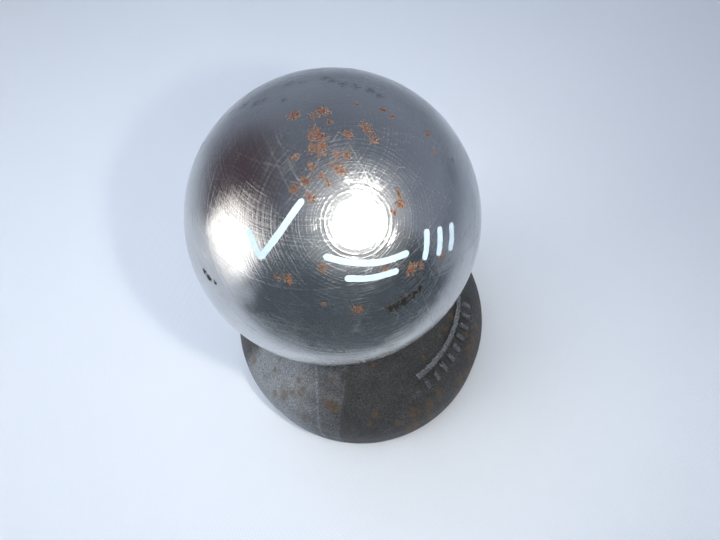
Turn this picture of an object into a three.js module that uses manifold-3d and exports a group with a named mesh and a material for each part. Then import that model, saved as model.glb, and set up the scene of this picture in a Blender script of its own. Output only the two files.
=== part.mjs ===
// Ball hitch for welding to a drawbar: an 80 mm coupling ball clamped on a conical forged foot.
// Millimetres, +Z up. The origin is the centre of the foot's flat underside.

import * as THREE from 'three';
import { mergeVertices } from 'three/addons/utils/BufferGeometryUtils.js';
import Module from 'manifold-3d';

// Driving dimensions
const BALL_R = 40;
const BALL_CENTRE_Z = 90;
const NECK_R = 27;
const FIT_GAP = 0.3;

// Foot: a short upright rim, a round shoulder, a cone and a hollow fillet into the neck
const FOOT_R = 50;
const FOOT_EDGE = 1.5;
const CONE_ANGLE = THREE.MathUtils.degToRad(49.5);
const CONE_CORNER_Z = 22;
const SHOULDER_R = 24;
const NECK_FILLET_R = 14;

// The joint between the neck and the ball lies where the neck meets the sphere
const JOINT_Z = BALL_CENTRE_Z - Math.sqrt(BALL_R ** 2 - NECK_R ** 2);
const SPIGOT_R = 16;
const SPIGOT_TOP_Z = 87.7;
const SPIGOT_CHAMFER = 1.2;

// Clamping screw, 20 mm thread, with its seat and washers
const SCREW_R = 10;
const SCREW_HEAD_R = 15;
const SCREW_HEAD_H = 20;
const SCREW_LENGTH = 78;
const SCREW_CHAMFER = 1.5;
const SCREW_Z = 12;
const KEY_FLATS = 17;
const KEY_DEPTH = 10;
const CLEARANCE_R = 11;
const COUNTERBORE_R = 18;
const COUNTERBORE_H = 36;
const WASHER_R = 15.35;
const WASHER_BORE_R = 10.7;
const WASHER_H = 1.5;
const TAPPED_DEPTH = 24;
const DRILL_POINT_H = 4;

// Dowels that stop the ball turning on the foot
const DOWEL_R = 2.5;
const DOWEL_LENGTH = 20;
const DOWEL_CHAMFER = 0.5;
const DOWEL_CIRCLE_R = 20.8;

// Seal ring in a step round the top of the neck
const SEAL_W = 2;
const SEAL_H = 2;

// Cup plug that closes the counterbore
const PLUG_Z = 1;
const PLUG_H = 8;
const PLUG_WALL = 1.6;

// Raised arc rib and plain raised bars below it, forged on one side of the cone
const RIB_START = THREE.MathUtils.degToRad(-69);
const RIB_END = THREE.MathUtils.degToRad(-17);
const RIB_CIRCLE_R = 38.9;
const RIB_W = 1.4;
const RIB_PROUD = 1;
const RIB_ROOT = 0.8;
const BAR_COUNT = 9;
const BAR_LENGTH = 4.2;
const BAR_W = 1.1;
const BAR_PROUD = 0.6;
const BAR_CIRCLE_R = 42;

// Facets round a turned piece
const LARGE_TURN = 48;
const SMALL_TURN = 24;

const wasm = await Module();
wasm.setup();

// Closed solid from a geometry whose faces share their corners
function solidFrom(geometry) {
  const bare = geometry.clone();
  bare.deleteAttribute('normal');
  bare.deleteAttribute('uv');
  const merged = mergeVertices(bare, 1e-4);
  const corners = merged.index.array;
  const kept = [];
  for (let i = 0; i < corners.length; i += 3) {
    const [a, b, c] = corners.slice(i, i + 3);
    if (a !== b && b !== c && c !== a) kept.push(a, b, c);
  }
  return new wasm.Manifold(new wasm.Mesh({
    numProp: 3,
    vertProperties: new Float32Array(merged.attributes.position.array),
    triVerts: new Uint32Array(kept),
  }));
}

function geometryFrom(solid) {
  const mesh = solid.getMesh();
  const geometry = new THREE.BufferGeometry();
  geometry.setAttribute('position', new THREE.BufferAttribute(mesh.vertProperties, 3));
  geometry.setIndex(new THREE.BufferAttribute(mesh.triVerts, 1));
  geometry.computeVertexNormals();
  return geometry;
}

// Points along a round stretch of a profile, first and last included
function arc(centreR, centreZ, radius, from, to, steps) {
  return Array.from({ length: steps + 1 }, (_, i) => {
    const angle = from + (to - from) * (i / steps);
    return [centreR + radius * Math.cos(angle), centreZ + radius * Math.sin(angle)];
  });
}

// Solid turned about Z from [radius, height] points that run anticlockwise round the section
function turned(profile, facets) {
  const points = profile.map(([r, z]) => new THREE.Vector2(r, z));
  return solidFrom(new THREE.LatheGeometry(points, facets).rotateX(Math.PI / 2));
}

function cylinder(radius, bottom, top, x = 0, facets = SMALL_TURN) {
  const shape = new THREE.CylinderGeometry(radius, radius, top - bottom, facets).rotateX(Math.PI / 2);
  return solidFrom(shape.translate(x, 0, (top + bottom) / 2));
}

function piece(name, solid, color, roughness, metalness, z = 0) {
  const material = new THREE.MeshStandardMaterial({ color, roughness, metalness });
  const mesh = new THREE.Mesh(geometryFrom(solid), material);
  mesh.name = name;
  mesh.position.z = z;
  return mesh;
}

// Height of the cone's surface, before its shoulder and fillet, at a radius
const coneZ = (r) => CONE_CORNER_Z + (FOOT_R - r) * Math.tan(CONE_ANGLE);

// Machined ball, modelled about its own centre: flat seat, spigot socket and blind tapped hole below
function couplingBall() {
  const seat = JOINT_Z + FIT_GAP - BALL_CENTRE_Z;
  const socketTop = SPIGOT_TOP_Z + FIT_GAP - BALL_CENTRE_Z;
  const tappedTop = socketTop + TAPPED_DEPTH;
  const profile = [
    [SPIGOT_R + FIT_GAP, seat],
    ...arc(0, 0, BALL_R, Math.asin(seat / BALL_R), 0, 7),
    ...arc(0, 0, BALL_R, 0, Math.PI / 2, 14).slice(1, -1),
    [0, BALL_R],
    [0, tappedTop + DRILL_POINT_H],
    [SCREW_R + FIT_GAP, tappedTop],
    [SCREW_R + FIT_GAP, socketTop],
    [SPIGOT_R + FIT_GAP, socketTop],
    [SPIGOT_R + FIT_GAP, seat],
  ];
  let ball = turned(profile, LARGE_TURN);
  for (const x of [-DOWEL_CIRCLE_R, DOWEL_CIRCLE_R]) {
    ball = ball.subtract(cylinder(DOWEL_R + FIT_GAP, seat - 1, seat + DOWEL_LENGTH / 2, x));
  }
  return piece('coupling_ball', ball, 0x9a9ca1, 0.28, 1, BALL_CENTRE_Z);
}

// Arc rib that follows the cone, its section a parallelogram sunk a little into the surface
function raisedRib() {
  const inner = RIB_CIRCLE_R - RIB_W / 2;
  const outer = RIB_CIRCLE_R + RIB_W / 2;
  const ring = turned([
    [inner, coneZ(inner) - RIB_ROOT],
    [outer, coneZ(outer) - RIB_ROOT],
    [outer, coneZ(outer) + RIB_PROUD],
    [inner, coneZ(inner) + RIB_PROUD],
    [inner, coneZ(inner) - RIB_ROOT],
  ], 2 * LARGE_TURN);
  const sector = new THREE.Shape();
  sector.moveTo(0, 0);
  for (const angle of [RIB_START, (RIB_START + RIB_END) / 2, RIB_END]) {
    sector.lineTo(2 * FOOT_R * Math.cos(angle), 2 * FOOT_R * Math.sin(angle));
  }
  const wedge = new THREE.ExtrudeGeometry(sector, { depth: BALL_CENTRE_Z, bevelEnabled: false });
  return ring.intersect(solidFrom(wedge));
}

// Plain bars down the slope under the rib, evenly spaced along it
function raisedBars() {
  const tilt = CONE_ANGLE;
  return Array.from({ length: BAR_COUNT }, (_, i) => {
    const angle = RIB_START + (RIB_END - RIB_START) * ((i + 0.5) / BAR_COUNT);
    const bar = new THREE.BoxGeometry(BAR_LENGTH, BAR_W, 2 * BAR_PROUD).rotateY(tilt);
    bar.translate(BAR_CIRCLE_R, 0, coneZ(BAR_CIRCLE_R)).rotateZ(angle);
    return solidFrom(bar);
  });
}

// Forged foot: flat weld face, cone, neck and spigot, bored through from below for the screw
function weldFoot() {
  const toVertical = Math.PI / 2 - CONE_ANGLE;
  const shoulderZ = CONE_CORNER_Z - SHOULDER_R * Math.tan(toVertical / 2);
  const filletZ = coneZ(NECK_R) + NECK_FILLET_R * Math.tan(toVertical / 2);
  const profile = [
    [COUNTERBORE_R, 0],
    [FOOT_R - FOOT_EDGE, 0],
    [FOOT_R, FOOT_EDGE],
    ...arc(FOOT_R - SHOULDER_R, shoulderZ, SHOULDER_R, 0, toVertical, 6),
    ...arc(NECK_R + NECK_FILLET_R, filletZ, NECK_FILLET_R, Math.PI + toVertical, Math.PI, 5),
    [NECK_R, JOINT_Z - SEAL_H - FIT_GAP],
    [NECK_R - SEAL_W, JOINT_Z - SEAL_H - FIT_GAP],
    [NECK_R - SEAL_W, JOINT_Z],
    [SPIGOT_R, JOINT_Z],
    [SPIGOT_R, SPIGOT_TOP_Z - SPIGOT_CHAMFER],
    [SPIGOT_R - SPIGOT_CHAMFER, SPIGOT_TOP_Z],
    [CLEARANCE_R, SPIGOT_TOP_Z],
    [CLEARANCE_R, COUNTERBORE_H],
    [COUNTERBORE_R, COUNTERBORE_H],
    [COUNTERBORE_R, 0],
  ];
  let foot = turned(profile, LARGE_TURN).add(raisedRib());
  for (const bar of raisedBars()) foot = foot.add(bar);
  for (const x of [-DOWEL_CIRCLE_R, DOWEL_CIRCLE_R]) {
    foot = foot.subtract(cylinder(DOWEL_R + FIT_GAP, JOINT_Z - DOWEL_LENGTH / 2, JOINT_Z + 1, x));
  }
  return piece('weld_foot', foot, 0x4a494a, 0.65, 0.7);
}

// Socket head cap screw, head down, with a hexagon socket for the key
function clampScrew() {
  const top = SCREW_HEAD_H + SCREW_LENGTH;
  const body = turned([
    [0, 0],
    [SCREW_HEAD_R - 1, 0],
    [SCREW_HEAD_R, 1],
    [SCREW_HEAD_R, SCREW_HEAD_H],
    [SCREW_R, SCREW_HEAD_H],
    [SCREW_R, top - SCREW_CHAMFER],
    [SCREW_R - SCREW_CHAMFER, top],
    [0, top],
  ], SMALL_TURN);
  const socket = cylinder(KEY_FLATS / Math.sqrt(3), -1, KEY_DEPTH, 0, 6);
  return piece('clamp_screw', body.subtract(socket), 0x2b2a2c, 0.5, 0.8, SCREW_Z);
}

function lockWasher(name, z) {
  const ring = turned([
    [WASHER_BORE_R, 0],
    [WASHER_R, 0],
    [WASHER_R, WASHER_H],
    [WASHER_BORE_R, WASHER_H],
    [WASHER_BORE_R, 0],
  ], SMALL_TURN);
  return piece(name, ring, 0x8f9396, 0.45, 0.9, z);
}

// Parallel dowel, half in the neck and half in the ball
function dowelPin(name, x) {
  const pin = turned([
    [0, 0],
    [DOWEL_R - DOWEL_CHAMFER, 0],
    [DOWEL_R, DOWEL_CHAMFER],
    [DOWEL_R, DOWEL_LENGTH - DOWEL_CHAMFER],
    [DOWEL_R - DOWEL_CHAMFER, DOWEL_LENGTH],
    [0, DOWEL_LENGTH],
  ], SMALL_TURN);
  const mesh = piece(name, pin, 0xa4a7ab, 0.25, 1, JOINT_Z + (FIT_GAP - DOWEL_LENGTH) / 2);
  mesh.position.x = x;
  return mesh;
}

// Rubber ring that keeps water out of the joint
function neckSeal() {
  const inner = NECK_R - SEAL_W + FIT_GAP;
  const half = SEAL_H / 2;
  const ring = turned([
    [inner, 0],
    [NECK_R - half, 0],
    ...arc(NECK_R - half, half, half, -Math.PI / 2, Math.PI / 2, 6),
    [inner, SEAL_H],
    [inner, 0],
  ], LARGE_TURN);
  return piece('neck_seal_ring', ring, 0x1c1c1d, 0.8, 0, JOINT_Z - SEAL_H);
}

// Pressed steel cup, open upwards, in the mouth of the counterbore
function basePlug() {
  const outer = COUNTERBORE_R - FIT_GAP;
  const inner = outer - PLUG_WALL;
  const cup = turned([
    [0, 0],
    [outer - PLUG_WALL / 2, 0],
    [outer, PLUG_WALL / 2],
    [outer, PLUG_H],
    [inner, PLUG_H],
    [inner, PLUG_WALL],
    [0, PLUG_WALL],
  ], LARGE_TURN);
  return piece('base_plug', cup, 0x85888c, 0.4, 0.9, PLUG_Z);
}

const washerZ = SCREW_Z + SCREW_HEAD_H + FIT_GAP;

const hitch = new THREE.Group();
hitch.add(
  couplingBall(),
  weldFoot(),
  clampScrew(),
  lockWasher('lock_washer_lower', washerZ),
  lockWasher('lock_washer_upper', washerZ + WASHER_H + FIT_GAP),
  dowelPin('dowel_pin_left', -DOWEL_CIRCLE_R),
  dowelPin('dowel_pin_right', DOWEL_CIRCLE_R),
  neckSeal(),
  basePlug(),
);

export default hitch;
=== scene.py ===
import bpy
import bmesh
import math
import random
import numpy as np
from mathutils import Matrix, Quaternion, Vector, noise


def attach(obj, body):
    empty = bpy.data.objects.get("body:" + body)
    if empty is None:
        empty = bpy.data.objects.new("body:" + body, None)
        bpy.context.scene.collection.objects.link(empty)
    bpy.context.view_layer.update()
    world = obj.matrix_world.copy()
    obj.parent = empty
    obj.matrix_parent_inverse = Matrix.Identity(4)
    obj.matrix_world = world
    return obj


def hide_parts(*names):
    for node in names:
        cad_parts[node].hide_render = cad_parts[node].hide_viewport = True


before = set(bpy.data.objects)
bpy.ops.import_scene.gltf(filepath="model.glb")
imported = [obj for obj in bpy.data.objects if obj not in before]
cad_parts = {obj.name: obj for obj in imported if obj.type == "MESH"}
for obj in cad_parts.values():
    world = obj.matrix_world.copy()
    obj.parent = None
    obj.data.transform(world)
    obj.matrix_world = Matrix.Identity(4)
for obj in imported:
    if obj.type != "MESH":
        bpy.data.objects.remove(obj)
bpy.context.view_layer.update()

# ---- Camera ----
# A wide lens held close above the ball, from the front, leaning in a little and turned on its own axis.
MM = 0.001
eye = Vector((0.0, -74.9, 212.7)) * MM
look_at = Vector((4.0, -1.6, 58.0)) * MM
lens_turn = math.radians(11.9)
camera_data = bpy.data.cameras.new("camera")
camera_data.sensor_width = 36
camera_data.lens = 25.5
camera_data.clip_start = 0.01
camera = bpy.data.objects.new("camera", camera_data)
camera.location = eye
aim = (look_at - eye).to_track_quat("-Z", "Y")
camera.rotation_euler = (aim @ Quaternion((0, 0, 1), -lens_turn)).to_euler()
scene = bpy.context.scene
scene.collection.objects.link(camera)
scene.camera = camera
scene.view_settings.view_transform = "Standard"


# ---- Floor ----
# A table laid with a pale cotton cloth, much larger than the object. The weave is plain and very fine, and
# the cloth lies flat.
def colour(hex_code):
    """sRGB hex code to linear RGBA."""
    channels = [int(hex_code[i:i + 2], 16) / 255 for i in (1, 3, 5)]
    linear = [c / 12.92 if c <= 0.04045 else ((c + 0.055) / 1.055) ** 2.4 for c in channels]
    return (*linear, 1.0)


def add(tree, kind, links, **settings):
    """Adds one node to a tree, with its settings, and its inputs set to values or linked to sockets."""
    node = tree.nodes.new(kind)
    for name, value in settings.items():
        setattr(node, name, value)
    for name, value in links.items():
        if isinstance(value, bpy.types.NodeSocket):
            tree.links.new(value, node.inputs[name])
        else:
            node.inputs[name].default_value = value
    return node


def new_material(name):
    """An empty material's node tree, its object coordinates in millimetres, and the material."""
    material = bpy.data.materials.new(name)
    material.use_nodes = True
    tree = material.node_tree
    tree.nodes.clear()
    place = add(tree, "ShaderNodeTexCoord", {}).outputs["Object"]
    scaled = add(tree, "ShaderNodeVectorMath", {0: place, "Scale": 1000.0}, operation="SCALE")
    return material, tree, scaled.outputs[0]


def surface(tree, shader_links):
    """Ends a material in a Principled shader."""
    shader = add(tree, "ShaderNodeBsdfPrincipled", shader_links)
    add(tree, "ShaderNodeOutputMaterial", {"Surface": shader.outputs[0]})


CLOTH_SIZE = 4.0
CLOTH_THREAD = 0.55
# A wave texture at scale 1 repeats after this length
WAVE_REPEAT = 0.314
CLOTH_COLOUR = colour("#d8dde2")

cloth_material, tree, place = new_material("white_cotton_cloth")
warp, weft = [
    add(tree, "ShaderNodeTexWave", {"Vector": place, "Scale": WAVE_REPEAT / CLOTH_THREAD, "Distortion": 0.6,
                                    "Detail": 1.0}, bands_direction=direction)
    for direction in ("X", "Y")
]
weave = add(tree, "ShaderNodeMath", {0: warp.outputs["Fac"], 1: weft.outputs["Fac"]}, operation="MULTIPLY")
cloth_bump = add(tree, "ShaderNodeBump", {"Height": weave.outputs[0], "Strength": 1.0, "Distance": 0.0001})
surface(tree, {"Base Color": CLOTH_COLOUR, "Roughness": 0.9, "Normal": cloth_bump.outputs[0]})

cloth = bmesh.new()
bmesh.ops.create_grid(cloth, x_segments=4, y_segments=4, size=CLOTH_SIZE / 2)
cloth_mesh = bpy.data.meshes.new("table_cloth")
cloth.to_mesh(cloth_mesh)
cloth_mesh.materials.append(cloth_material)
table_cloth = bpy.data.objects.new("table_cloth", cloth_mesh)
scene.collection.objects.link(table_cloth)


# ---- Light ----
# A small bright lamp beside the lens with a frosted cover, a wide window low on the left, and soft panels
# overhead. A pale room with one dark corner is reflected all round.
def area_light(name, place, target, width, height, watts, tint, shape="RECTANGLE"):
    """Area light at a place, facing a target, both in millimetres."""
    lamp = bpy.data.lights.new(name, "AREA")
    lamp.shape = shape
    lamp.size = width * MM
    lamp.size_y = height * MM
    lamp.energy = watts
    lamp.color = colour(tint)[:3]
    light = bpy.data.objects.new(name, lamp)
    light.location = Vector(place) * MM
    light.rotation_euler = (Vector(target) - Vector(place)).to_track_quat("-Z", "Y").to_euler()
    scene.collection.objects.link(light)
    return light


BALL_Z = 90.0
LAMP = (30.2, -73.4, 200.4)
area_light("lamp_by_lens", LAMP, (0, 0, BALL_Z), 10, 10, 0.2, "#fff9ee", "DISK")
# The cover spreads a little of the lamp's light, most near its middle; it shows only in reflections
for name, size, watts in (
    ("lamp_cover_near", 64, 0.010),
    ("lamp_cover_middle", 112, 0.019),
    ("lamp_cover_wide", 190, 0.032),
):
    cover = area_light(name, LAMP, (0, 0, BALL_Z), size, size, watts, "#f4f6f4", "DISK")
    cover.visible_diffuse = False
window = area_light("window_left", (-1500, -50, 350), (0, 0, BALL_Z), 960, 1040, 10, "#fffaf3")
window.visible_diffuse = False
for name, place, target, size, watts, tint in (
    ("soft_panel_near", (-80, 60, 420), (-20, 20, 0), 300, 1.34, "#e4eeff"),
    ("window_spill", (-620, -60, 400), (-360, -40, 0), 420, 1.9, "#fffdf8"),
    ("soft_panel_overhead", (0, 200, 2200), (0, 0, 0), 3200, 5.8, "#e2edff"),
):
    panel = area_light(name, place, target, size, size, watts, tint)
    panel.visible_glossy = False

# A board covered in grey cloth stands behind the lens. At its foot an apron of the same cloth lies on the
# floor as
# painted shade: it darkens the floor in front where the ball reflects it. Both are seen only in reflections.
# Sizes in metres.
BOARD_W = 0.54
BOARD_H = 0.45
BOARD_X = -0.05
BOARD_Y = -0.17
SHADE_APRON_REACH = 0.086
SHADE_APRON_LIFT = 0.001

board_material, tree, place = new_material("grey_cloth")
surface(tree, {"Base Color": colour("#666d70"), "Roughness": 1.0})

board = bmesh.new()
bmesh.ops.create_grid(board, x_segments=1, y_segments=1, size=0.5)
bmesh.ops.rotate(board, verts=board.verts, cent=(0, 0, 0), matrix=Matrix.Rotation(math.radians(90), 3, "X"))
bmesh.ops.scale(board, verts=board.verts, vec=(BOARD_W, 1, BOARD_H))
bmesh.ops.translate(board, verts=board.verts, vec=(BOARD_X, BOARD_Y, BOARD_H / 2))
low_edge = min(board.edges, key=lambda edge: edge.verts[0].co.z + edge.verts[1].co.z)
shade_apron = bmesh.ops.extrude_edge_only(board, edges=[low_edge])["geom"]
bmesh.ops.translate(board, verts=[item for item in shade_apron if isinstance(item, bmesh.types.BMVert)],
                    vec=(0, SHADE_APRON_REACH, SHADE_APRON_LIFT))
board_mesh = bpy.data.meshes.new("grey_board")
board.to_mesh(board_mesh)
board_mesh.materials.append(board_material)
grey_board = bpy.data.objects.new("grey_board", board_mesh)
scene.collection.objects.link(grey_board)
grey_board.visible_camera = False
grey_board.visible_diffuse = False
grey_board.visible_shadow = False

# The room: lighter low down, bluish, and with a darker, warmer corner up behind the window
ROOM_LOW = 0.36
ROOM_HIGH = 0.22
ROOM_TINT = (0.86, 0.98, 1.22)
CORNER_WAY = (-0.83, 0.36, 0.43)
CORNER_TINT = (0.105, 0.08, 0.095)

world = bpy.data.worlds.new("pale_studio")
scene.world = world
world.use_nodes = True
tree = world.node_tree
tree.nodes.clear()
direction = add(tree, "ShaderNodeTexCoord", {}).outputs["Generated"]
height = add(tree, "ShaderNodeSeparateXYZ", {0: direction}).outputs["Z"]
room = add(tree, "ShaderNodeMapRange", {"Value": height, "From Min": 0.0, "From Max": 0.9,
                                        "To Min": ROOM_LOW, "To Max": ROOM_HIGH})
tinted = add(tree, "ShaderNodeVectorMath", {0: ROOM_TINT, "Scale": room.outputs[0]}, operation="SCALE")
corner = add(tree, "ShaderNodeVectorMath", {0: direction, 1: CORNER_WAY}, operation="DOT_PRODUCT")
in_corner = add(tree, "ShaderNodeMapRange", {"Value": corner.outputs["Value"], "From Min": 0.68,
                                             "From Max": 0.96}, interpolation_type="SMOOTHSTEP")
shaded = add(tree, "ShaderNodeMix", {"Factor": in_corner.outputs[0], "A": tinted.outputs[0],
                                     "B": CORNER_TINT}, data_type="VECTOR")
seen = add(tree, "ShaderNodeLightPath", {}).outputs["Is Camera Ray"]
backdrop = add(tree, "ShaderNodeMix", {"Factor": seen, "A": shaded.outputs["Result"],
                                       "B": colour("#aeb5c0")[:3]}, data_type="VECTOR")
sky = add(tree, "ShaderNodeBackground", {"Color": backdrop.outputs["Result"], "Strength": 1.0})
add(tree, "ShaderNodeOutputWorld", {"Surface": sky.outputs[0]})


# ---- Coupling ball ----
# Solid steel ball, turned from bar and ground, left bare. Below it has a flat seat, a socket for the foot's
# spigot, a blind tapped hole for the clamping screw and two dowel holes.
BALL_R = 40.0
NECK_R = 27.0
FIT_GAP = 0.3
JOINT_Z = BALL_Z - math.sqrt(BALL_R ** 2 - NECK_R ** 2)
SPIGOT_R = 16.0
SPIGOT_TOP_Z = 87.7
SCREW_R = 10.0
TAPPED_DEPTH = 24.0
DRILL_POINT = 4.0
DOWEL_R = 2.5
DOWEL_LENGTH = 20.0
DOWEL_CIRCLE_R = 20.8
DOWEL_HOLES = [(x, DOWEL_R + FIT_GAP, 48) for x in (-DOWEL_CIRCLE_R, DOWEL_CIRCLE_R)]


def line_of(points, bm):
    """A line of edges through (radius, height) points in the XZ plane. Returns its vertices."""
    verts = [bm.verts.new((r, 0, z)) for r, z in points]
    for a, b in zip(verts, verts[1:]):
        bm.edges.new((a, b))
    return verts


def revolve(bm, steps):
    """Turns everything in a bmesh about Z into a closed shell that faces outwards."""
    bmesh.ops.spin(bm, geom=bm.verts[:] + bm.edges[:], axis=(0, 0, 1), cent=(0, 0, 0), angle=math.tau,
                   steps=steps, use_merge=True)
    bmesh.ops.remove_doubles(bm, verts=bm.verts, dist=1e-4)
    bmesh.ops.recalc_face_normals(bm, faces=bm.faces)


def drill(bm, face_z, holes, depth):
    """Faces the flat ring left open on a turned piece, with blind holes of (x, radius, sides) in it."""
    rims = [edge for edge in bm.edges if edge.is_boundary]
    for x, radius, sides in holes:
        mouth = bmesh.ops.create_circle(bm, segments=sides, radius=radius,
                                        matrix=Matrix.Translation((x, 0, face_z)))["verts"]
        rims += dict.fromkeys(edge for vert in mouth for edge in vert.link_edges)
    bmesh.ops.triangle_fill(bm, edges=rims, use_beauty=True)
    mouths = [edge for edge in bm.edges if edge.is_boundary]
    walls = bmesh.ops.extrude_edge_only(bm, edges=mouths)["geom"]
    ends = [item for item in walls if isinstance(item, bmesh.types.BMVert)]
    bmesh.ops.translate(bm, verts=ends, vec=(0, 0, depth))
    bmesh.ops.holes_fill(bm, edges=[edge for edge in bm.edges if edge.is_boundary], sides=0)
    bmesh.ops.recalc_face_normals(bm, faces=bm.faces)


def finish_piece(bm, name, material, nodes=(), crease=35):
    """Makes a piece in metres from a bmesh in millimetres, smooth but for sharp edges, on the root body."""
    bmesh.ops.scale(bm, vec=(MM, MM, MM), verts=bm.verts)
    mesh = bpy.data.meshes.new(name)
    bm.to_mesh(mesh)
    bm.free()
    mesh.materials.append(material)
    mesh.shade_smooth()
    mesh.set_sharp_from_angle(angle=math.radians(crease))
    piece = bpy.data.objects.new(name, mesh)
    scene.collection.objects.link(piece)
    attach(piece, "root")
    if nodes:
        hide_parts(*nodes)
    return piece


def on_ball(azimuth, elevation, radius=BALL_R):
    """Point on the ball, in millimetres from its centre. Azimuth 0 is +X and -90 the front."""
    a, e = math.radians(azimuth), math.radians(elevation)
    return Vector((math.cos(a) * math.cos(e), math.sin(a) * math.cos(e), math.sin(e))) * radius


def spots_field(points, spots):
    """For each point, how deep it lies in the nearest of (azimuth, elevation, radius in mm) spots: 1 at the
    middle, 0.5 at the edge, 0 from twice the radius."""
    field = np.zeros(len(points))
    for azimuth, elevation, radius in spots:
        away = np.linalg.norm(points - np.array(on_ball(azimuth, elevation)), axis=1)
        field = np.maximum(field, 1 - away / (2 * radius))
    return field


def points_of(piece):
    """A piece's vertices, in millimetres, one row each."""
    points = np.empty(len(piece.data.vertices) * 3)
    piece.data.vertices.foreach_get("co", points)
    return points.reshape(-1, 3) / MM


def store(piece, name, values):
    """Keeps one number per vertex on a piece, for its material."""
    layer = piece.data.attributes.new(name, "FLOAT", "POINT")
    layer.data.foreach_set("value", np.asarray(values, dtype=np.float32))


# Rust where damp has sat on the crown and run towards the front, then single specks all round, as (azimuth,
# elevation, radius in mm)
RUST_SPOTS = [
    (127, 83.5, 1.6), (60, 87.0, 1.0), (40, 84.0, 1.5), (20, 83.0, 1.0), (-75, 86.5, 1.7),
    (-66, 84.0, 1.4), (-78, 81.0, 1.6), (-96, 84.5, 0.9), (-98, 81.0, 1.1), (-9, 84.0, 0.8),
    (-123, 78.0, 1.0), (-85, 78.5, 1.1), (-66, 76.5, 0.9), (-57, 74.5, 1.2), (-72, 72.0, 1.6),
    (-77, 74.0, 1.1), (-100, 75.5, 1.2), (-107, 71.5, 1.5), (-91, 72.0, 0.9), (-87, 69.5, 0.9),
    (-116, 69.0, 1.3), (-103, 66.5, 1.4), (-12, 73.5, 1.2), (-18, 72.5, 1.3), (-26, 70.0, 1.4),
    (-32, 78.0, 1.3), (7, 65.5, 1.0), (0, 63.5, 0.8), (18, 73.0, 0.7), (-7, 51.0, 1.1),
    (-17, 49.0, 0.7), (-51, 55.5, 1.0), (-54, 53.0, 1.3), (-60, 52.5, 1.0), (-76, 38.5, 1.4),
    (-66, 34.0, 1.8), (-62, 33.0, 1.0), (-53, 29.0, 1.1), (-90, 29.0, 1.5), (-100, 45.5, 1.2),
    (-115, 41.5, 1.4), (-120, 42.0, 0.8), (-102, 33.0, 0.8), (60, 47.0, 1.6), (66, 43.0, 1.1),
    (150, 38.0, 1.2), (155, 35.0, 0.8), (178, 12.0, 1.3), (95, 12.0, 1.4), (100, 8.0, 0.9),
    (15, 5.0, 1.2), (-20, -8.0, 1.0), (-140, -6.0, 1.3), (125, -15.0, 1.1),
]
# Faint dark pitting in rings on the far side of the crown, where a cup has worn the ball
PIT_SPOTS = [
    (136, 54.0, 1.3), (132, 59.0, 1.6), (129, 65.5, 1.3), (124, 67.5, 1.0), (112, 75.0, 0.9),
    (141, 47.0, 1.0), (97, 66.5, 1.2), (86, 68.0, 1.0), (68, 66.0, 1.3), (61, 67.5, 1.3),
    (50, 68.0, 1.6), (40, 66.5, 1.5), (30, 64.0, 1.5), (22, 63.0, 1.2), (62, 55.0, 0.9),
    (-15, 40.0, 0.8), (-155, 48.0, 0.7),
]
# Dark handling marks: a smear low on the front right, and nicks on the left flank
SMEAR_SPOTS = [
    (-79, 24.5, 1.4), (-76.5, 24.5, 1.7), (-73.5, 24.5, 1.7), (-70, 25.0, 1.3), (-66.5, 25.5, 1.1),
    (-155, 26.0, 0.9), (-152, 25.5, 1.0), (-148, 26.5, 0.7),
]


SPHERE_STEPS = 180
BALL_STEPS = 384

ball = bmesh.new()
seat_z = JOINT_Z + FIT_GAP
seat_r = math.sqrt(BALL_R ** 2 - (BALL_Z - seat_z) ** 2)
socket_r = SPIGOT_R + FIT_GAP
socket_z = SPIGOT_TOP_Z + FIT_GAP
tapped_z = socket_z + TAPPED_DEPTH
line_of([
    (socket_r, seat_z), (socket_r, socket_z), (SCREW_R + FIT_GAP, socket_z), (SCREW_R + FIT_GAP, tapped_z),
    (0, tapped_z + DRILL_POINT),
], ball)
seat_angle = math.asin((BALL_Z - seat_z) / BALL_R)
bmesh.ops.spin(ball, geom=line_of([(seat_r, seat_z)], ball), axis=(0, -1, 0), cent=(0, 0, BALL_Z),
               angle=math.pi / 2 + seat_angle, steps=SPHERE_STEPS)
revolve(ball, BALL_STEPS)
drill(ball, seat_z, DOWEL_HOLES, DOWEL_LENGTH / 2)

ball_material, tree, place = new_material("turned_and_ground_steel")
# Grinding marks: faint rings round the lathe's axis, and stronger ones where a cup wheel was held on the
# front. Real ones are a few hundredths of a millimetre wide; these and the scratches are wider, to show.
RING_PITCH = 0.5
RING_AXES = [((0.0, 0.0, 1.0), 0.8), (tuple(on_ball(-79, 56, 1)), 1.0)]
from_centre = add(tree, "ShaderNodeVectorMath", {0: place, 1: (0, 0, -BALL_Z)}, operation="ADD")
outwards = add(tree, "ShaderNodeVectorMath", {0: from_centre.outputs[0]}, operation="NORMALIZE").outputs[0]
patchy = add(tree, "ShaderNodeTexNoise", {"Vector": place, "Scale": 0.13, "Detail": 3.0}).outputs["Fac"]
height = 0.0
for axis, weight in RING_AXES:
    towards = add(tree, "ShaderNodeVectorMath", {0: outwards, 1: axis}, operation="DOT_PRODUCT")
    angle = add(tree, "ShaderNodeMath", {0: towards.outputs["Value"]}, operation="ARCCOSINE")
    across = add(tree, "ShaderNodeMath", {0: angle.outputs[0], 1: BALL_R / RING_PITCH, 2: patchy},
                 operation="MULTIPLY_ADD")
    rings = add(tree, "ShaderNodeTexNoise", {"W": across.outputs[0], "Scale": 1.0, "Detail": 3.0,
                                             "Roughness": 0.7}, noise_dimensions="1D").outputs["Fac"]
    rings = add(tree, "ShaderNodeMath", {0: rings, 1: 0.5}, operation="SUBTRACT").outputs[0]
    share = add(tree, "ShaderNodeMapRange", {"Value": patchy, "From Min": 0.35, "From Max": 0.65,
                                             "To Min": 0.3 * weight, "To Max": weight})
    height = add(tree, "ShaderNodeMath", {0: rings, 1: share.outputs[0], 2: height},
                 operation="MULTIPLY_ADD").outputs[0]
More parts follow.
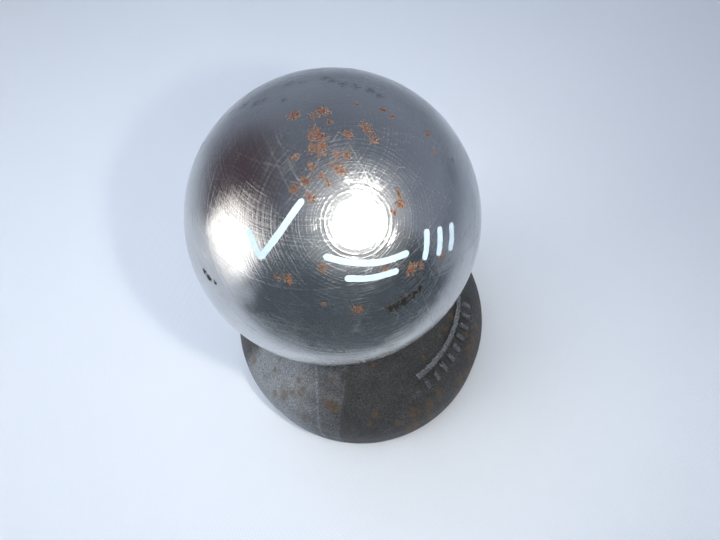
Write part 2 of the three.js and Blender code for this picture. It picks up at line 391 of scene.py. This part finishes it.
ring_bump = add(tree, "ShaderNodeBump", {"Height": height, "Strength": 1.0, "Distance": 0.00006})

# Scratches: long ones in many directions. Each family of planes cuts the ball in arcs that fade in and out.
SCRATCH_PITCH = 0.8
SCRATCH_EDGE = 0.022
SCRATCH_FADE = 9.0
SCRATCH_WAYS = 8
SCRATCH_BEND = 1.5
grooves = 0.0
for way in range(SCRATCH_WAYS):
    rise = 1 - (2 * way + 1) / SCRATCH_WAYS
    turn = way * 2.4
    level = math.sqrt(1 - rise ** 2)
    normal = (math.cos(turn) * level, math.sin(turn) * level, rise)
    along = add(tree, "ShaderNodeVectorMath", {0: place, 1: normal}, operation="DOT_PRODUCT")
    fading = add(tree, "ShaderNodeTexNoise", {"Vector": place, "W": way * 3.7, "Scale": 1 / SCRATCH_FADE,
                                              "Detail": 2.0}, noise_dimensions="4D").outputs["Fac"]
    across = add(tree, "ShaderNodeMath", {0: fading, 1: SCRATCH_BEND, 2: along.outputs["Value"]},
                 operation="MULTIPLY_ADD").outputs[0]
    line = add(tree, "ShaderNodeTexNoise", {"W": across, "Scale": 1 / SCRATCH_PITCH, "Detail": 0.0},
               noise_dimensions="1D").outputs["Fac"]
    middle = add(tree, "ShaderNodeMath", {0: line, 1: 0.5}, operation="SUBTRACT")
    away = add(tree, "ShaderNodeMath", {0: middle.outputs[0]}, operation="ABSOLUTE")
    groove = add(tree, "ShaderNodeMapRange", {"Value": away.outputs[0], "From Max": SCRATCH_EDGE,
                                              "To Min": 1.0, "To Max": 0.0})
    share = add(tree, "ShaderNodeMapRange", {"Value": fading, "From Min": 0.44, "From Max": 0.62})
    grooves = add(tree, "ShaderNodeMath", {0: groove.outputs[0], 1: share.outputs[0], 2: grooves},
                  operation="MULTIPLY_ADD").outputs[0]
depth = add(tree, "ShaderNodeMath", {0: 1.0, 1: grooves}, operation="SUBTRACT")
scratch_bump = add(tree, "ShaderNodeBump", {"Height": depth.outputs[0], "Strength": 1.0,
                                            "Distance": 0.000003, "Normal": ring_bump.outputs[0]})
# Cloudy wear: the ground skin is a little duller where it has been handled
cloud = add(tree, "ShaderNodeTexNoise", {"Vector": place, "Scale": 0.06, "Detail": 4.0})
polish = add(tree, "ShaderNodeMapRange", {"Value": cloud.outputs["Fac"], "From Min": 0.3, "From Max": 0.7,
                                          "To Min": 0.1, "To Max": 0.135})
in_ring = add(tree, "ShaderNodeMapRange", {"Value": height, "From Min": 0.0, "From Max": 0.15, "To Min": 0.0,
                                           "To Max": 0.19}).outputs[0]
in_groove = add(tree, "ShaderNodeMath", {0: grooves, 1: 0.16, 2: in_ring}, operation="MULTIPLY_ADD")
dulled = add(tree, "ShaderNodeMath", {0: polish.outputs[0], 1: in_groove.outputs[0]}, operation="ADD")
tone = add(tree, "ShaderNodeMix", {"Factor": cloud.outputs["Fac"], "A": colour("#b3b4b6"),
                                   "B": colour("#cacbcc")}, data_type="RGBA")
# Rust, pits and smears: ragged patches of fine noise round the stored spots
fleck = add(tree, "ShaderNodeTexNoise", {"Vector": place, "Scale": 1.5, "Detail": 5.0, "Roughness": 0.7})


def ragged_patch(tree, fleck, attribute, wildness, low, high):
    """Mask of patches round a stored field of spots, their edges torn by a fine noise."""
    near = add(tree, "ShaderNodeAttribute", {}, attribute_name=attribute)
    torn = add(tree, "ShaderNodeMath", {0: fleck.outputs["Fac"], 1: wildness, 2: near.outputs["Fac"]},
               operation="MULTIPLY_ADD")
    mask = add(tree, "ShaderNodeMapRange", {"Value": torn.outputs[0], "From Min": low, "From Max": high})
    return mask.outputs[0]


rust = ragged_patch(tree, fleck, "rust", 2.6, 1.95, 2.06)
rust_film = ragged_patch(tree, fleck, "rust", 2.0, 1.35, 1.75)
pits = ragged_patch(tree, fleck, "pits", 2.8, 1.95, 2.25)
smear = ragged_patch(tree, fleck, "smear", 2.2, 1.5, 1.8)
rust_depth = add(tree, "ShaderNodeTexNoise", {"Vector": place, "Scale": 2.2, "Detail": 3.0})
rust_share = add(tree, "ShaderNodeMapRange", {"Value": rust_depth.outputs["Fac"], "From Min": 0.35,
                                              "From Max": 0.65})
rust_tone = add(tree, "ShaderNodeMix", {"Factor": rust_share.outputs[0], "A": colour("#2c160c"),
                                        "B": colour("#6b3f22")}, data_type="RGBA").outputs["Result"]
skin = tone.outputs["Result"]
for mask, most, patch_colour in ((rust_film, 0.35, colour("#9a8352")), (pits, 0.45, colour("#3a3836")),
                                 (smear, 0.93, colour("#0c0c0e")), (rust, 1.0, rust_tone)):
    share = add(tree, "ShaderNodeMath", {0: mask, 1: most}, operation="MULTIPLY")
    skin = add(tree, "ShaderNodeMix", {"Factor": share.outputs[0], "A": skin, "B": patch_colour},
               data_type="RGBA").outputs["Result"]
matt = add(tree, "ShaderNodeMath", {0: rust, 1: smear}, operation="MAXIMUM")
roughness = add(tree, "ShaderNodeMix", {"Factor": matt.outputs[0], "A": dulled.outputs[0], "B": 0.75},
                data_type="FLOAT")
metal = add(tree, "ShaderNodeMath", {0: 1.0, 1: rust}, operation="SUBTRACT")
surface(tree, {"Base Color": skin, "Metallic": metal.outputs[0], "Roughness": roughness.outputs["Result"],
               "Normal": scratch_bump.outputs[0]})

coupling_ball = finish_piece(ball, "ball_ground", ball_material, ["coupling_ball"])
ball_points = points_of(coupling_ball) - np.array((0, 0, BALL_Z))
store(coupling_ball, "rust", spots_field(ball_points, RUST_SPOTS))
store(coupling_ball, "pits", spots_field(ball_points, PIT_SPOTS))
store(coupling_ball, "smear", spots_field(ball_points, SMEAR_SPOTS))


# ---- Marker strokes ----
# White paint-marker strokes that an inspector leaves on a checked part: a tick, two sweeps and three dashes.
# Each is a thin film of paint, rounded at its ends, that follows the ball.
STROKE_W = 1.45
FILM = 0.09
STROKES = [
    [(-138, 53), (-132, 49), (-127, 46)],
    [(-128, 46), (-121, 55), (-108, 66)],
    [(-99, 49), (-88, 45.5), (-76, 42), (-64, 39.5)],
    [(-92, 41), (-82, 38.5), (-71, 36.5)],
    [(-52, 41), (-56, 37), (-60, 33.5)],
    [(-46.5, 37.5), (-50, 34), (-54, 30.5)],
    [(-41, 34), (-44.5, 30.5), (-48.5, 27.5)],
]
STEPS_PER_LEG = 14

paint_material, tree, place = new_material("white_paint_marker")
flow = add(tree, "ShaderNodeTexNoise", {"Vector": place, "Scale": 0.8, "Detail": 3.0})
paint_tone = add(tree, "ShaderNodeMix", {"Factor": flow.outputs["Fac"], "A": colour("#8fa3b0"),
                                         "B": colour("#aebfca")}, data_type="RGBA")
paint_bump = add(tree, "ShaderNodeBump", {"Height": flow.outputs["Fac"], "Strength": 0.4,
                                          "Distance": 0.00005})
surface(tree, {"Base Color": paint_tone.outputs["Result"], "Roughness": 0.42,
               "Normal": paint_bump.outputs[0]})


def stroke_path(corners):
    """Points along one smooth curve through a stroke's corners, on the ball."""
    knots = [on_ball(*corner) for corner in corners]
    ends = [knots[0] * 2 - knots[1]] + knots + [knots[-1] * 2 - knots[-2]]
    path = []
    for a, b, c, d in zip(ends, ends[1:], ends[2:], ends[3:]):
        for i in range(STEPS_PER_LEG):
            t = i / STEPS_PER_LEG
            path.append(0.5 * ((2 * b) + (c - a) * t + (2 * a - 5 * b + 4 * c - d) * t ** 2
                               + (3 * b - a - 3 * c + d) * t ** 3))
    return path + [knots[-1]]


strokes = bmesh.new()
for index, corners in enumerate(STROKES):
    path = stroke_path(corners)
    run = [0.0]
    for a, b in zip(path, path[1:]):
        run.append(run[-1] + (b - a).length)
    rim_edge = None
    for i, point in enumerate(path):
        along = (path[min(i + 1, len(path) - 1)] - path[max(i - 1, 0)]).normalized()
        across = along.cross(point).normalized()
        from_end = min(run[i], run[-1] - run[i]) + 0.05
        roundness = math.sqrt(1 - (1 - min(1, from_end / (STROKE_W / 2))) ** 2)
        wobble = 1 + 0.10 * noise.noise(point * 0.9 + Vector((index * 7.0, 0, 0)))
        reach = across * (STROKE_W / 2 * roundness * wobble)
        sides = [(point + reach).normalized(), (point - reach).normalized()]
        if rim_edge is None:
            rim_edge = strokes.edges.new([strokes.verts.new(side) for side in sides])
        else:
            grown = bmesh.ops.extrude_edge_only(strokes, edges=[rim_edge])["geom"]
            rim_edge = next(g for g in grown if isinstance(g, bmesh.types.BMEdge))
        for vert, side in zip(rim_edge.verts, sides):
            vert.co = side * (BALL_R + FILM) + Vector((0, 0, BALL_Z))
bmesh.ops.recalc_face_normals(strokes, faces=strokes.faces)
bmesh.ops.solidify(strokes, geom=strokes.faces[:], thickness=FILM)
bmesh.ops.recalc_face_normals(strokes, faces=strokes.faces)
finish_piece(strokes, "marker_strokes", paint_material)


# ---- Weld foot ----
# Drop-forged steel foot, left as forged under dark mill scale: an upright rim, a round shoulder, a cone and
# a hollow fillet up to the neck. Its dies met off true, and the trimmed flash left a band on each side.
FOOT_R = 50.0
FOOT_EDGE = 1.5
CONE_ANGLE = math.radians(49.5)
CONE_CORNER_Z = 22.0
SHOULDER_R = 24.0
FILLET_R = 14.0
SEAL_W = 2.0
SEAL_H = 2.0
CLEARANCE_R = 11.0
COUNTERBORE_R = 18.0
COUNTERBORE_H = 36.0
SPIGOT_CHAMFER = 1.2
FOOT_STEPS = 600
SKIN_PITCH = 0.6
FLASH_AZIMUTH = math.radians(-116)
FLASH_HALF_W = 5.8
FLASH_DEPTH = 0.24
CREASE_DEPTH = 0.15
DIE_SHIFT = 0.16
HOLLOW_SIZE, HOLLOW_DEPTH = 9, 0.12
POCK_SIZE, POCK_DEPTH = 1.6, 0.06
# The bars stand in a shallow sunk panel, between these two azimuths in degrees
PANEL_FROM, PANEL_TO = -71, -15
PANEL_R = 41.9
PANEL_DEPTH = 0.5
# A raised rib, and bars down the slope below it, on the front right
RIB_START, RIB_END = math.radians(-69), math.radians(-17)
RIB_CIRCLE_R = 38.9
RIB_W = 1.4
RIB_PROUD = 1.0
RIB_ROOT = 0.8
BAR_COUNT = 9
BAR_SIZE = (4.2, 1.6, 1.3)
BAR_ROUND = 0.28
BAR_CIRCLE_R = 42.0
# Rust patches on the slope, as (azimuth, radius from the axis, size in mm), and a seeded scatter: thick on
# the front right rim, where it has run down the side, and thin all round
FOOT_RUST = [
    (-132, 41.0, 1.7), (-136, 42.0, 1.2), (-116, 41.0, 2.1), (-113, 42.5, 1.2), (-140, 44.5, 1.7),
    (-145, 46.0, 1.2), (-128, 47.0, 1.0), (-98, 46.0, 0.9), (-86, 47.5, 1.2), (-150, 40.0, 0.9),
    (-60, 36.0, 0.9), (-44, 35.5, 0.8),
]
RIM_RUST_COUNT = 46
LOOSE_RUST_COUNT = 30
rust_dice = random.Random(11)
FOOT_RUST += [(rust_dice.uniform(-85, -12), rust_dice.uniform(46, 50.5), rust_dice.uniform(0.7, 1.7))
              for _ in range(RIM_RUST_COUNT)]
FOOT_RUST += [(rust_dice.uniform(0, 360), rust_dice.uniform(30, 50), rust_dice.uniform(0.6, 1.6))
              for _ in range(LOOSE_RUST_COUNT)]


def cone_z(radius):
    """Height of the cone's surface at a radius."""
    return CONE_CORNER_Z + (FOOT_R - radius) * math.tan(CONE_ANGLE)


def smooth_step(value):
    """0 below 0, 1 above 1, and a smooth rise between."""
    value = min(1.0, max(0.0, value))
    return value * value * (3 - 2 * value)


foot = bmesh.new()
seal_step_z = JOINT_Z - SEAL_H - FIT_GAP
corner_reach = math.tan((math.pi / 2 - CONE_ANGLE) / 2)
outline = line_of([
    (FOOT_R - FOOT_EDGE, 0), (FOOT_R, FOOT_EDGE), (FOOT_R, CONE_CORNER_Z), (NECK_R, cone_z(NECK_R)),
    (NECK_R, seal_step_z),
], foot)
for corner, radius, segments in ((outline[2], SHOULDER_R, 36), (outline[3], FILLET_R, 20)):
    bmesh.ops.bevel(foot, geom=[corner], offset=radius * corner_reach, offset_type="OFFSET",
                    segments=segments, profile=0.5, affect="VERTICES", material=-1)
for edge in [edge for edge in foot.edges if edge.calc_length() > 5]:
    bmesh.ops.subdivide_edges(foot, edges=[edge], cuts=round(edge.calc_length() / SKIN_PITCH))
line_of([(NECK_R, seal_step_z), (NECK_R - SEAL_W, seal_step_z), (NECK_R - SEAL_W, JOINT_Z)], foot)
line_of([
    (SPIGOT_R, JOINT_Z), (SPIGOT_R, SPIGOT_TOP_Z - SPIGOT_CHAMFER),
    (SPIGOT_R - SPIGOT_CHAMFER, SPIGOT_TOP_Z), (CLEARANCE_R, SPIGOT_TOP_Z), (CLEARANCE_R, COUNTERBORE_H),
    (COUNTERBORE_R, COUNTERBORE_H), (COUNTERBORE_R, 0), (FOOT_R - FOOT_EDGE, 0),
], foot)
revolve(foot, FOOT_STEPS)
drill(foot, JOINT_Z, DOWEL_HOLES, -DOWEL_LENGTH / 2)

# The forged skin: only ever sunk below its true surface, and left true at the weld edge and the neck's top
wear_and_painted_light = foot.verts.layers.float.new("wear_and_painted_light")
flash_way = Vector((math.cos(FLASH_AZIMUTH), math.sin(FLASH_AZIMUTH), 0))
across_flash = Vector((-flash_way.y, flash_way.x, 0))
foot.normal_update()
for vert in foot.verts:
    r = vert.co.xy.length
    if r < NECK_R - 0.01 or vert.co.z < FOOT_EDGE:
        continue
    free = smooth_step((vert.co.z - FOOT_EDGE) / 2) * smooth_step((seal_step_z - vert.co.z) / 3)
    side = vert.co.dot(across_flash)
    band_half = FLASH_HALF_W - 0.1 * (r - 31)
    band = smooth_step((band_half - abs(side)) / 0.5)
    crease = smooth_step(1 - abs(side - band_half) / 0.45)
    turn = math.degrees(math.atan2(vert.co.y, vert.co.x))
    panel = smooth_step((turn - PANEL_FROM) / 1.5) * smooth_step((PANEL_TO - turn) / 1.5)
    panel *= smooth_step(2.8 - abs(r - PANEL_R))
    hollows = 0.5 + 0.5 * noise.noise(vert.co / HOLLOW_SIZE)
    pocks = 0.5 + 0.5 * noise.noise(vert.co / POCK_SIZE)
    sunk = (HOLLOW_DEPTH * hollows + POCK_DEPTH * pocks + FLASH_DEPTH * band + CREASE_DEPTH * crease
            + PANEL_DEPTH * panel + DIE_SHIFT * smooth_step(0.5 - side / 1.5))
    vert.co -= vert.normal * sunk * free
    # Lighter towards bare steel along the rim's lower edge and on the flash band, where it is worn. Lighter on
    # the left flank as a painted sheen from the window, and on the ridge by the band as a painted highlight;
    # darker in the crease and in the sunk panel as painted shade.
    left = smooth_step((-108 - turn) / 30) * smooth_step((turn + 172) / 12)
    ridge = smooth_step(1 - abs(side + band_half) / 0.7)
    rim_edge = smooth_step(1 - abs(vert.co.z - FOOT_EDGE - 1) / 1.2)
    wear_and_sheen = max(0.8 * left, 0.25 * band, 0.7 * rim_edge)
    vert[wear_and_painted_light] = wear_and_sheen + 0.35 * ridge - 0.4 * crease - 0.7 * panel

# The rib is an arc of one rough section, capped at its ends
sound = set(foot.verts)
rib_in, rib_out = RIB_CIRCLE_R - RIB_W / 2, RIB_CIRCLE_R + RIB_W / 2
section = line_of([
    (rib_in, cone_z(rib_in) - RIB_ROOT), (rib_out, cone_z(rib_out) - RIB_ROOT),
    (rib_out, cone_z(rib_out) + 0.6 * RIB_PROUD), (rib_out - 0.35, cone_z(rib_out - 0.35) + RIB_PROUD),
    (rib_in + 0.35, cone_z(rib_in + 0.35) + RIB_PROUD), (rib_in, cone_z(rib_in) + 0.6 * RIB_PROUD),
], foot)
foot.edges.new((section[-1], section[0]))
loop = list(dict.fromkeys(edge for vert in section for edge in vert.link_edges))
bmesh.ops.rotate(foot, verts=section, cent=(0, 0, 0), matrix=Matrix.Rotation(RIB_START, 3, "Z"))
bmesh.ops.spin(foot, geom=section + loop, axis=(0, 0, 1), cent=(0, 0, 0), angle=RIB_END - RIB_START,
               steps=150)
bmesh.ops.holes_fill(foot, edges=[edge for edge in foot.edges if edge.is_boundary], sides=0)
for vert in foot.verts:
    if vert not in sound:
        vert.co += noise.noise_vector(vert.co * 1.1) * 0.3 + noise.noise_vector(vert.co * 2.7) * 0.35
        vert.co.z -= 0.1
        # The rib is stored lighter: rubbed on its top, and partly a painted highlight along its edge
        vert[wear_and_painted_light] = 0.75

# The bars are short, blunt blocks that lie along the slope
for i in range(BAR_COUNT):
    angle = RIB_START + (RIB_END - RIB_START) * (i + 0.5) / BAR_COUNT
    lie = (Matrix.Rotation(angle, 4, "Z") @ Matrix.Translation((BAR_CIRCLE_R, 0, cone_z(BAR_CIRCLE_R)))
           @ Matrix.Rotation(CONE_ANGLE, 4, "Y") @ Matrix.Diagonal((*BAR_SIZE, 1)))
    block = bmesh.ops.create_cube(foot, size=1, matrix=lie)["verts"]
    corners = list(dict.fromkeys(edge for vert in block for edge in vert.link_edges))
    bmesh.ops.bevel(foot, geom=corners, offset=BAR_ROUND, segments=3, profile=0.5, affect="EDGES", material=-1)
for vert in foot.verts:
    if vert not in sound and vert[wear_and_painted_light] == 0:
        vert.co += noise.noise_vector(vert.co * 0.9) * 0.35
        vert[wear_and_painted_light] = 0.4
bmesh.ops.recalc_face_normals(foot, faces=foot.faces)

foot_material, tree, place = new_material("forged_steel_mill_scale")
# Mill scale: dark brown-grey oxide with a fine grain. The stored mask lightens it towards blue-grey steel
# where it is rubbed, and also as a painted sheen on the left flank and painted highlights on the ridge and
# rib; where the mask is low, in the crease and the sunk panel, the dark scale stays as painted shade.
grain = add(tree, "ShaderNodeTexNoise", {"Vector": place, "Scale": 1.8, "Detail": 6.0, "Roughness": 0.8})
patch = add(tree, "ShaderNodeTexNoise", {"Vector": place, "Scale": 0.16, "Detail": 5.0, "Roughness": 0.6})
fleck = add(tree, "ShaderNodeTexNoise", {"Vector": place, "Scale": 0.9, "Detail": 5.0, "Roughness": 0.7})
scale_tone = add(tree, "ShaderNodeMix", {"Factor": patch.outputs["Fac"], "A": colour("#353536"),
                                         "B": colour("#59595a")}, data_type="RGBA").outputs["Result"]
light_and_wear_mask = add(tree, "ShaderNodeAttribute", {}, attribute_name="wear_and_painted_light").outputs["Fac"]
for mottle, most in ((patch, 0.9), (fleck, 0.5)):
    light_and_wear_mask = add(tree, "ShaderNodeMath", {0: mottle.outputs["Fac"], 1: most, 2: light_and_wear_mask},
                 operation="MULTIPLY_ADD").outputs[0]
light_and_wear_mask = add(tree, "ShaderNodeMapRange", {"Value": light_and_wear_mask, "From Min": 0.8, "From Max": 1.7}).outputs[0]
tone = add(tree, "ShaderNodeMix", {"Factor": light_and_wear_mask, "A": scale_tone, "B": colour("#8d9296")},
           data_type="RGBA").outputs["Result"]
pepper = add(tree, "ShaderNodeMapRange", {"Value": grain.outputs["Fac"], "From Min": 0.38, "From Max": 0.66,
                                          "To Min": 0.4, "To Max": 1.8})
tone = add(tree, "ShaderNodeVectorMath", {0: tone, "Scale": pepper.outputs[0]}, operation="SCALE").outputs[0]
foot_rust = ragged_patch(tree, fleck, "rust", 2.4, 1.6, 2.1)
foot_rust = add(tree, "ShaderNodeMath", {0: foot_rust, 1: 0.8}, operation="MULTIPLY").outputs[0]
tone = add(tree, "ShaderNodeMix", {"Factor": foot_rust, "A": tone, "B": colour("#5f4a30")},
           data_type="RGBA").outputs["Result"]
dull = add(tree, "ShaderNodeMapRange", {"Value": light_and_wear_mask, "To Min": 0.62, "To Max": 0.5})
scale_bump = add(tree, "ShaderNodeBump", {"Height": grain.outputs["Fac"], "Strength": 0.9,
                                          "Distance": 0.0003})
metal = add(tree, "ShaderNodeMapRange", {"Value": foot_rust, "To Min": 0.5, "To Max": 0.0})
surface(tree, {"Base Color": tone, "Metallic": metal.outputs[0], "Roughness": dull.outputs[0],
               "Normal": scale_bump.outputs[0]})

weld_foot = finish_piece(foot, "foot_forged", foot_material, ["weld_foot"])
foot_points = points_of(weld_foot)[:, :2]
foot_rusted = np.zeros(len(foot_points))
for azimuth, reach, size in FOOT_RUST:
    turn = math.radians(azimuth)
    away = np.linalg.norm(foot_points - np.array((math.cos(turn), math.sin(turn))) * reach, axis=1)
    foot_rusted = np.maximum(foot_rusted, 1 - away / (2 * size))
store(weld_foot, "rust", foot_rusted)


# ---- Neck seal ring ----
# Moulded black nitrile rubber ring with a rounded outer edge. It is squeezed into the step round the neck's
# top, under the ball, and keeps the joint dry.
seal_material, tree, place = new_material("moulded_black_nitrile_rubber")
dusty = add(tree, "ShaderNodeTexNoise", {"Vector": place, "Scale": 0.8, "Detail": 4.0})
rubber_tone = add(tree, "ShaderNodeMix", {"Factor": dusty.outputs["Fac"], "A": colour("#161617"),
                                          "B": colour("#2c2b2a")}, data_type="RGBA")
rubber_bump = add(tree, "ShaderNodeBump", {"Height": dusty.outputs["Fac"], "Strength": 0.2,
                                           "Distance": 0.0001})
surface(tree, {"Base Color": rubber_tone.outputs["Result"], "Roughness": 0.75,
               "Normal": rubber_bump.outputs[0]})

seal = bmesh.new()
seal_in = NECK_R - SEAL_W + FIT_GAP
seal_half = SEAL_H / 2
top_in = line_of([(seal_in, JOINT_Z), (NECK_R - seal_half, JOINT_Z)], seal)[0]
low_in, low_out = line_of([(seal_in, JOINT_Z - SEAL_H), (NECK_R - seal_half, JOINT_Z - SEAL_H)], seal)
seal.edges.new((top_in, low_in))
bmesh.ops.spin(seal, geom=[low_out], axis=(0, -1, 0), cent=(NECK_R - seal_half, 0, JOINT_Z - seal_half),
               angle=math.pi, steps=12)
revolve(seal, 192)
finish_piece(seal, "seal_rubber_ring", seal_material, ["neck_seal_ring"])


# ---- Clamping screw ----
# Socket head cap screw with a 20 mm thread, forged, rolled and finished in black oxide. It comes up through
# the foot into the ball. The thread is drawn as plain rings at the real 2.5 mm pitch, since it never shows.
SCREW_Z = 12.0
SCREW_HEAD_R = 15.0
SCREW_HEAD_H = 20.0
SCREW_LENGTH = 78.0
SCREW_CHAMFER = 1.5
KEY_FLATS = 17.0
KEY_DEPTH = 10.0
THREAD_PITCH = 2.5
THREAD_DEPTH = 1.3
THREAD_RINGS = 20

screw_material, tree, place = new_material("black_oxide_alloy_steel")
oil = add(tree, "ShaderNodeTexNoise", {"Vector": place, "Scale": 0.4, "Detail": 4.0})
oxide_tone = add(tree, "ShaderNodeMix", {"Factor": oil.outputs["Fac"], "A": colour("#1f1f22"),
                                         "B": colour("#36353a")}, data_type="RGBA")
oily = add(tree, "ShaderNodeMapRange", {"Value": oil.outputs["Fac"], "To Min": 0.3, "To Max": 0.55})
oxide_bump = add(tree, "ShaderNodeBump", {"Height": oil.outputs["Fac"], "Strength": 0.2, "Distance": 0.0001})
surface(tree, {"Base Color": oxide_tone.outputs["Result"], "Metallic": 0.85, "Roughness": oily.outputs[0],
               "Normal": oxide_bump.outputs[0]})

screw = bmesh.new()
head_top = SCREW_Z + SCREW_HEAD_H
tip_z = head_top + SCREW_LENGTH
thread_z = tip_z - SCREW_CHAMFER - THREAD_RINGS * THREAD_PITCH
thread = []
for ring in range(THREAD_RINGS):
    z = thread_z + ring * THREAD_PITCH
    thread += [(SCREW_R, z), (SCREW_R, z + 0.3), (SCREW_R - THREAD_DEPTH, z + 1.25),
               (SCREW_R - THREAD_DEPTH, z + 1.55)]
line_of([
    (SCREW_HEAD_R - 1, SCREW_Z), (SCREW_HEAD_R - 0.3, SCREW_Z + 0.3), (SCREW_HEAD_R, SCREW_Z + 1),
    (SCREW_HEAD_R, head_top - 0.5), (SCREW_HEAD_R - 0.5, head_top), (SCREW_R + 0.6, head_top),
    (SCREW_R, head_top + 0.6), *thread, (SCREW_R, tip_z - SCREW_CHAMFER), (SCREW_R - SCREW_CHAMFER, tip_z),
    (0, tip_z),
], screw)
revolve(screw, 96)
drill(screw, SCREW_Z, [(0, KEY_FLATS / math.sqrt(3), 6)], KEY_DEPTH)
finish_piece(screw, "screw_black_oxide", screw_material, ["clamp_screw"])


# ---- Lock washers ----
# A pair of wedge-lock washers on the shoulder of the screw's head, stamped and hardened, in dull grey zinc
# flake. Each has fine radial teeth on the side that faces away from the other.
WASHER_R = 15.35
WASHER_BORE_R = 10.7
WASHER_H = 1.5
TOOTH_H = 0.22
TEETH = 60

washer_material, tree, place = new_material("zinc_flake_coated_steel")
flakes = add(tree, "ShaderNodeTexVoronoi", {"Vector": place, "Scale": 3.0})
flake_tone = add(tree, "ShaderNodeMix", {"Factor": flakes.outputs["Distance"], "A": colour("#9ea2a5"),
                                         "B": colour("#7f8386")}, data_type="RGBA")
flake_bump = add(tree, "ShaderNodeBump", {"Height": flakes.outputs["Distance"], "Strength": 0.2,
                                          "Distance": 0.0001})
surface(tree, {"Base Color": flake_tone.outputs["Result"], "Metallic": 0.8, "Roughness": 0.48,
               "Normal": flake_bump.outputs[0]})

washer_z = head_top + FIT_GAP
for name, node, base_z, toothed_z in (
    ("washer_lower", "lock_washer_lower", washer_z, washer_z),
    ("washer_upper", "lock_washer_upper", washer_z + WASHER_H + FIT_GAP, washer_z + 2 * WASHER_H + FIT_GAP),
):
    washer = bmesh.new()
    outline = line_of([(WASHER_BORE_R, base_z), (WASHER_R - 0.2, base_z), (WASHER_R, base_z + 0.2),
                       (WASHER_R, base_z + WASHER_H - 0.2), (WASHER_R - 0.2, base_z + WASHER_H),
                       (WASHER_BORE_R, base_z + WASHER_H)], washer)
    washer.edges.new((outline[-1], outline[0]))
    revolve(washer, 2 * TEETH)
    inwards = 1 if toothed_z == base_z else -1
    for vert in washer.verts:
        step = round(math.atan2(vert.co.y, vert.co.x) * TEETH / math.pi)
        if step % 2 and abs(vert.co.z - toothed_z) < 1e-3:
            vert.co.z += inwards * TOOTH_H
    finish_piece(washer, name, washer_material, [node], crease=20)


# ---- Dowel pins ----
# Two hardened dowels, ground bright and chamfered, half in the foot and half in the ball, so that the ball
# can't turn.
DOWEL_CHAMFER = 0.5

dowel_material, tree, place = new_material("hardened_ground_dowel_steel")
along_pin = add(tree, "ShaderNodeSeparateXYZ", {0: place}).outputs["Z"]
grinding = add(tree, "ShaderNodeTexNoise", {"W": along_pin, "Scale": 4.0, "Detail": 3.0},
               noise_dimensions="1D")
dowel_tone = add(tree, "ShaderNodeMix", {"Factor": grinding.outputs["Fac"], "A": colour("#a9acaf"),
                                         "B": colour("#c3c6c8")}, data_type="RGBA")
dowel_bump = add(tree, "ShaderNodeBump", {"Height": grinding.outputs["Fac"], "Strength": 0.2,
                                          "Distance": 0.00005})
surface(tree, {"Base Color": dowel_tone.outputs["Result"], "Metallic": 1.0, "Roughness": 0.22,
               "Normal": dowel_bump.outputs[0]})

dowel_z = JOINT_Z + (FIT_GAP - DOWEL_LENGTH) / 2
for name, x in (("left", -DOWEL_CIRCLE_R), ("right", DOWEL_CIRCLE_R)):
    dowel = bmesh.new()
    line_of([(0, dowel_z), (DOWEL_R - DOWEL_CHAMFER, dowel_z), (DOWEL_R, dowel_z + DOWEL_CHAMFER),
             (DOWEL_R, dowel_z + DOWEL_LENGTH - DOWEL_CHAMFER),
             (DOWEL_R - DOWEL_CHAMFER, dowel_z + DOWEL_LENGTH), (0, dowel_z + DOWEL_LENGTH)], dowel)
    revolve(dowel, 48)
    bmesh.ops.translate(dowel, verts=dowel.verts, vec=(x, 0, 0))
    finish_piece(dowel, "dowel_ground_" + name, dowel_material, ["dowel_pin_" + name])


# ---- Base plug ----
# Cup pressed from thin steel and zinc plated. It is pushed open end up into the counterbore, and keeps dirt
# off the screw's head.
PLUG_Z = 1.0
PLUG_H = 8.0
PLUG_WALL = 1.6

plug_material, tree, place = new_material("zinc_plated_pressed_steel")
plated = add(tree, "ShaderNodeTexNoise", {"Vector": place, "Scale": 0.25, "Detail": 4.0})
plug_tone = add(tree, "ShaderNodeMix", {"Factor": plated.outputs["Fac"], "A": colour("#8b8f92"),
                                        "B": colour("#b3b6b4")}, data_type="RGBA")
plug_shine = add(tree, "ShaderNodeMapRange", {"Value": plated.outputs["Fac"], "To Min": 0.25, "To Max": 0.5})
surface(tree, {"Base Color": plug_tone.outputs["Result"], "Metallic": 1.0,
               "Roughness": plug_shine.outputs[0]})

plug = bmesh.new()
plug_r = COUNTERBORE_R - FIT_GAP
cup = line_of([
    (0, PLUG_Z), (plug_r, PLUG_Z), (plug_r, PLUG_Z + PLUG_H), (plug_r - PLUG_WALL, PLUG_Z + PLUG_H),
    (plug_r - PLUG_WALL, PLUG_Z + PLUG_WALL), (0, PLUG_Z + PLUG_WALL),
], plug)
for corner, radius in ((cup[1], 1.5), (cup[4], 0.9), (cup[2], 0.3), (cup[3], 0.3)):
    bmesh.ops.bevel(plug, geom=[corner], offset=radius, offset_type="OFFSET", segments=5, profile=0.5,
                    affect="VERTICES", material=-1)
revolve(plug, 128)
finish_piece(plug, "plug_pressed_cup", plug_material, ["base_plug"])
